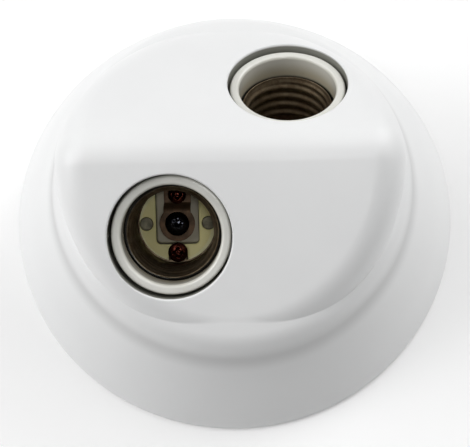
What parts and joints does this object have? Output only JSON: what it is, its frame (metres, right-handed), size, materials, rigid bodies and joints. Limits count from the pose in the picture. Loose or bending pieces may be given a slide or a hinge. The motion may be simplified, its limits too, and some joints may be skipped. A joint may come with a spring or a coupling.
{
  "type": "double ceiling lamp holder",
  "caption": "Round white ceiling fitting with a gabled cover and two porcelain screw sockets that face away from each other down its slopes.",
  "frame": {"origin": "centre of the flat back that lies against the ceiling", "axes": "+Z out of the ceiling, X along the ridge of the cover, the front socket on -Y"},
  "size_m": [0.152, 0.152, 0.0636],
  "materials": {
    "white_cover": "satin moulded thermoplastic",
    "white_plate": "plain moulded thermoplastic",
    "porcelain": "glazed porcelain, opaque",
    "shell_metal": "thin rolled sheet, darkened",
    "contact_copper": "spring copper alloy, browned",
    "contact_dark": "dark plated contact, polished",
    "screw_copper": "copper coloured screw",
    "terminal_brass": "pressed brass",
    "zinc_steel": "zinc plated steel"
  },
  "bodies": {
    "fixture": {"housing_cover": "white_cover", "mounting_plate": "white_plate", "front_ceramic_body": "porcelain", "front_screw_shell": "shell_metal", "front_shell_screw": "screw_copper", "front_contact_screw": "screw_copper", "front_live_terminal": "terminal_brass", "front_neutral_terminal": "terminal_brass", "front_terminal_screws": "zinc_steel", "front_holder_bracket": "zinc_steel", "front_bracket_rivets": "zinc_steel", "front_bracket_screws": "zinc_steel", "back_ceramic_body": "porcelain", "back_screw_shell": "shell_metal", "back_shell_screw": "screw_copper", "back_contact_screw": "screw_copper", "back_live_terminal": "terminal_brass", "back_neutral_terminal": "terminal_brass", "back_terminal_screws": "zinc_steel", "back_holder_bracket": "zinc_steel", "back_bracket_rivets": "zinc_steel", "back_bracket_screws": "zinc_steel"},
    "front_centre_contact": {"front_contact_strip": "contact_copper", "front_contact_button": "contact_dark"},
    "back_centre_contact": {"back_contact_strip": "contact_copper", "back_contact_button": "contact_dark"}
  },
  "joints": [
    {"name": "front_contact_flex", "type": "hinge", "parent": "fixture", "child": "front_centre_contact", "pos_m": [-0.01826, -0.00176, 0.02497], "axis": [1, 0, 0], "range_deg": [0, 6], "stiffness_Nm_per_rad": 0.5},
    {"name": "back_contact_flex", "type": "hinge", "parent": "fixture", "child": "back_centre_contact", "pos_m": [0.0186, 0.00207, 0.02482], "axis": [-1, 0, 0], "range_deg": [0, 6], "stiffness_Nm_per_rad": 0.5}
  ]
}
